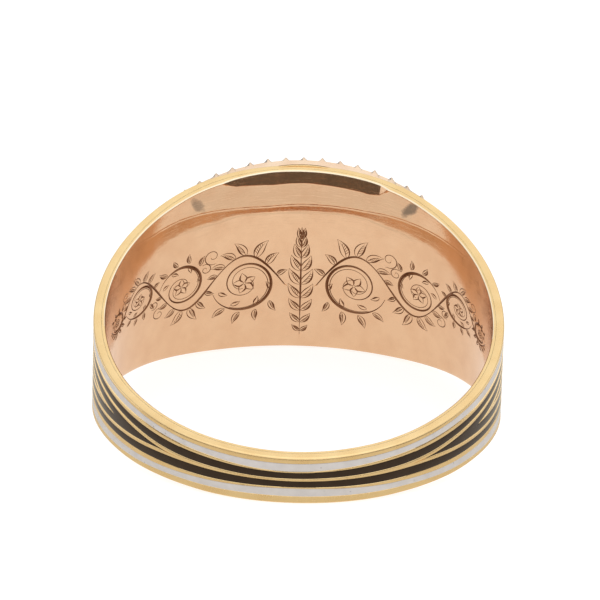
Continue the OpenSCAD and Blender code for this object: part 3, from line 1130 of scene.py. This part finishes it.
def enamel_material(name, color, dull, rough, pits, specular, sheen):
    """Fired glass enamel, ground flush: glossy, faintly wavy, with small pits and clouded spots."""
    m = Nodes(name)
    body = m.place()
    clouds = m.noise(body, 1.6, 4.0)
    cell = m.add("TexVoronoi", {"feature": "F1"}, Vector=body, Scale=2.3)
    speck = m.remap(cell.outputs["Distance"], 0.05, 0.1, 1.0, 0.0)
    base = m.mix(m.remap(clouds, 0.3, 0.75, 0.0, 1.0), color, dull)
    gloss = m.remap(m.noise(body, 7.0, 4.0), 0.3, 0.7, rough * 0.7, rough * 1.4)
    return m.finish(
        Base_Color=m.mix(m.math("MULTIPLY", speck, pits), base, (0.16, 0.15, 0.15)),
        Roughness=gloss, IOR=1.5, Specular_Tint=(*sheen, 1), Specular_IOR_Level=specular,
        Normal=m.bump(speck, -0.006 * MM, m.bump(clouds, 0.004 * MM)),
    )


def groove_material():
    """The cut of the graver, darkened by old soiling."""
    m = Nodes("engraved_groove")
    grain = m.noise(m.place(), 14.0, 4.0)
    return m.finish(
        Base_Color=m.mix(grain, (0.16, 0.062, 0.022), (0.3, 0.13, 0.055)), Metallic=0.7,
        Roughness=m.remap(grain, 0.3, 0.7, 0.32, 0.5), Normal=m.bump(grain, 0.002 * MM),
    )


def mottled_material(name, scale, spread, light, dark, metal, rough):
    """Two colours in patches: for a solder line, and for old soiling with painted shade on the teeth."""
    m = Nodes(name)
    patches = m.remap(m.noise(m.place(), scale, 4.0), 0.5 - spread, 0.5 + spread, 0, 1)
    return m.finish(Base_Color=m.mix(patches, light, dark), Metallic=metal, Roughness=rough)


def glass_material():
    """Rock crystal, faintly hazed by wear."""
    m = Nodes("rock_crystal")
    haze = m.noise(m.place(), 1.2, 4.0)
    return m.finish(
        Base_Color=(0.96, 0.98, 0.98, 1), Transmission_Weight=1.0, IOR=1.54,
        Roughness=m.remap(haze, 0.3, 0.7, 0.01, 0.05), Normal=m.bump(haze, 0.003 * MM),
    )


def panel_material():
    """A plain woven ground behind the crystal."""
    m = Nodes("panel_weave")
    v = m.place(rotation=(math.radians(-90) - LIE, 0, math.radians(45)))
    strands = []
    for way in "XY":
        bands = m.add("TexWave", {"bands_direction": way}, Vector=v, Scale=1.1, Distortion=0.4, Detail=2.0)
        strands.append(bands.outputs["Fac"])
    weave = m.math("MAXIMUM", *strands)
    fuzz = m.noise(m.place(), 12.0, 3.0)
    return m.finish(
        Base_Color=m.mix(weave, (0.05, 0.028, 0.016), (0.2, 0.12, 0.07)),
        Roughness=m.remap(fuzz, 0.3, 0.7, 0.45, 0.7), Normal=m.bump(weave, 0.05 * MM),
    )


def add_wall_uv(obj):
    """A UV map in millimetres: round the wall and up it."""
    mesh = obj.data
    co = np.empty(len(mesh.vertices) * 3)
    mesh.vertices.foreach_get("co", co)
    p = (co.reshape(-1, 3) - CENTRE) / MM
    y = p[:, 1] * math.cos(LIE) + p[:, 2] * math.sin(LIE)
    z = -p[:, 1] * math.sin(LIE) + p[:, 2] * math.cos(LIE)
    theta = np.arctan2(p[:, 0], y)
    radius = np.hypot(p[:, 0], y)
    loops = np.empty(len(mesh.loops), np.int32)
    mesh.loops.foreach_get("vertex_index", loops)
    starts = np.empty(len(mesh.polygons), np.int32)
    mesh.polygons.foreach_get("loop_start", starts)
    totals = np.empty(len(mesh.polygons), np.int32)
    mesh.polygons.foreach_get("loop_total", totals)
    first = np.repeat(theta[loops[starts]], totals)
    t = theta[loops]
    t = np.where(t - first > math.pi, t - 2 * math.pi, np.where(t - first < -math.pi, t + 2 * math.pi, t))
    uv = np.stack([t * INNER_R, z[loops] + (radius[loops] - INNER_R) * 0.7], -1)
    layer = mesh.uv_layers.new(name="wall")
    layer.data.foreach_set("uv", uv.astype(np.float32).ravel())


# The ring
yellow = gold_material("yellow_gold", (0.92, 0.68, 0.35), (0.86, 0.605, 0.29), 0.23)
rose = gold_material("rose_gold", (0.742, 0.484, 0.298), (0.70, 0.437, 0.262), 0.125, dark_patches=SMUDGES)
# A paler, lighter gold for the lip: a painted highlight, with the lower roughness of polished gold
lip_gold_highlight = gold_material("polished_lip_painted_highlight", (0.98, 0.84, 0.62), (0.95, 0.78, 0.54), 0.13)
pale = gold_material("collet_gold", (0.94, 0.72, 0.52), (0.86, 0.61, 0.42), 0.18)
white = enamel_material("white_enamel", (0.60, 0.56, 0.53), (0.52, 0.48, 0.45), 0.2, 0.55, 0.5, (1, 1, 1))
black = enamel_material("black_enamel", (0.017, 0.010, 0.006), (0.026, 0.016, 0.010), 0.16, 0.0, 0.36,
                        (1.0, 0.72, 0.5))
solder = mottled_material("solder_line", 4.0, 0.08, (0.5, 0.27, 0.15), (0.16, 0.08, 0.04), 0.85, 0.42)
# Dark brown on the teeth: old soiling, with painted shade on their left flanks and between them
tooth_soil_and_shade = mottled_material("tooth_soil_and_painted_shade", 6.0, 0.1, (0.46, 0.38, 0.31), (0.2, 0.16, 0.13), 0.6, 0.45)


def settle(obj, node):
    """Puts a finished piece on the ring's body in place of a CAD node."""
    add_wall_uv(obj)
    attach(obj, "root")
    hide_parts(node)


def start_angle(k, side, half, need=0.02):
    """Angle from the back at which an edge first stands clear of the middle line."""
    a = np.linspace(30, 90, 1201)
    low = np.where(edge_heights(side * a, half)[k] <= need)[0]
    return float(a[low[-1]]) if len(low) else float(a[0])


settle(band_mesh(yellow), "band")
settle(collet_mesh(pale, solder, tooth_soil_and_shade, yellow), "band")
settle(lining_mesh(rose, groove_material(), lip_gold_highlight, yellow), "lining")
settle(crystal_mesh(glass_material()), "crystal")
for half, where in ((1, "upper"), (-1, "lower")):
    for colour, material, first, seed in (("white", white, 0, 5), ("black", black, 2, 6)):
        piece = enamel_mesh(f"{colour}_enamel_{where}", material, [(first, first + 1, half, 0, 0.0, seed)])
        settle(piece, f"{colour}_stripe_{where}")
for side, where in ((-1, "left"), (1, "right")):
    for field, outer, inner, seed in (("chevron", 4, 5, 7), ("point", 6, None, 8)):
        legs = [(outer, inner, half, side, start_angle(outer, side, half), seed) for half in (1, -1)]
        piece = enamel_mesh(f"black_{field}_enamel_{where}", black, legs)
        settle(piece, f"black_{field}_{where}")

panel = frame["nodes"]["panel"]
panel.data.materials.clear()
panel.data.materials.append(panel_material())


# Floor, light and camera
def glowing(name, color, albedo=0.0, mottle=0.0):
    """A plain surface that gives off its own light: the floor, as a light table does, and the cards, whose
    glow is a painted reflection.
    """
    m = Nodes(name)
    glow = 1.0
    if mottle:
        glow = m.remap(m.noise(m.place(), mottle, 5.0, 0.7), 0.38, 0.62, 0.45, 1.7)
    return m.finish(Base_Color=(albedo, albedo, albedo, 1), Roughness=0.9, Specular_IOR_Level=0.1,
                    Emission_Color=(*color, 1), Emission_Strength=glow)


floor_top = float(cad_box[0].z)
bpy.ops.mesh.primitive_plane_add(size=4, location=(0, 0, floor_top))
floor = bpy.context.object
floor.name = "floor"
floor.data.materials.append(glowing("floor_white", (0.78, 0.78, 0.78), 0.38))


CARD_LIFT = 0.00003  # how far the cards lie over the floor


def sector_card(name, centre_y, inner, outer, start, end, material):
    """A flat part of a ring on the floor, from a start to an end direction, seen in reflections only: a
    painted reflection.
    """
    a = np.radians(np.linspace(start, end, 97))
    height = floor_top + CARD_LIFT
    rows = [xyz(k * np.sin(a), centre_y - k * np.cos(a), height) for k in (inner, outer)]
    mesh = bpy.data.meshes.new(name)
    mesh.from_pydata(np.concatenate(rows).tolist(), [], grid(len(rows), len(a)).tolist())
    mesh.materials.append(material)
    card = linked(name, mesh)
    card.visible_camera = False
    card.visible_diffuse = False
    card.visible_shadow = False
    card.visible_transmission = False


# Painted reflections, from cards that glow and show only in reflections: a dark, mottled band that the wall's
# flare mirrors, a greyer ring close round the object, and a pale arc inside the ring that the wall mirrors
# above its crease
sector_card("dark_reflection_sheet", 0.007, 0.021, 0.16, -52, 66, glowing("painted_dark_reflection", (0.12, 0.095, 0.075), mottle=0.3))
sector_card("grey_reflection_sheet", 0, 0.0096, 0.0165, -180, 180, glowing("painted_grey_reflection", (0.72, 0.68, 0.61)))
sector_card("inner_reflection_sheet", 0.004, 0.005, 0.0082, -78, 78, glowing("painted_pale_reflection", (0.92, 0.91, 0.89)))

# The sky's brightness is a product of ramps: axis, from, to, brightness there and there
SKY_RAMPS = ((2, 0.0, 0.5, 0.84, 1.05), (0, -1.0, 1.0, 0.92, 1.04), (1, -0.6, -0.4, 1.25, 1.0),
             (2, 0.3, 0.5, 0.75, 1.0))

scene = bpy.context.scene
sky = Nodes("sky", world=True)
ray = sky.add("SeparateXYZ", Vector=sky.add("TexCoord").outputs["Generated"])
glow = 1.0
for axis, *limits in SKY_RAMPS:
    glow = sky.math("MULTIPLY", glow, sky.remap(ray.outputs[axis], *limits))
scene.world = sky.finish(Color=(1, 1, 1, 1), Strength=glow)

# The photo's camera in the ring's frame: its direction from the finger hole, how it is rolled, how
# far away it is, the photo's scale, and where the hole's centre falls in the photo
ELEVATION, AZIMUTH, ROLL = 0.5895, 0.0027, 0.0288
DISTANCE, PX_PER_MM = 431.4, 21.8
FRAME_PX = 600
RING_AT = np.array([297.6, 366.2])


def camera_axes():
    """The camera's place and its right, up and backward directions, in the ring's frame."""
    level = math.cos(ELEVATION)
    back = np.array([math.sin(AZIMUTH) * level, -math.cos(AZIMUTH) * level, math.sin(ELEVATION)])
    right0 = np.cross(-back, [0, 0, 1])
    right0 /= np.linalg.norm(right0)
    up0 = np.cross(right0, -back)
    right = math.cos(ROLL) * right0 + math.sin(ROLL) * up0
    up = -math.sin(ROLL) * right0 + math.cos(ROLL) * up0
    eye = back * DISTANCE
    aim = (right * (FRAME_PX / 2 - RING_AT[0]) + up * (RING_AT[1] - FRAME_PX / 2)) / PX_PER_MM
    look = (aim - eye) / np.linalg.norm(aim - eye)
    right = right - look * (right @ look)
    right /= np.linalg.norm(right)
    return eye, right, np.cross(right, look), -look


lens = bpy.data.cameras.new("camera")
lens.sensor_width = 36
lens.lens = PX_PER_MM * DISTANCE / FRAME_PX * lens.sensor_width
lens.clip_start, lens.clip_end = 0.01, 20
camera = linked("camera", lens)
eye, *axes = camera_axes()
turned = turn(np.array(axes))
place = to_world(eye)
camera.matrix_world = Matrix([[*turned[:, k], place[k]] for k in range(3)] + [[0, 0, 0, 1]])
scene.camera = camera
scene.view_settings.view_transform = "Standard"
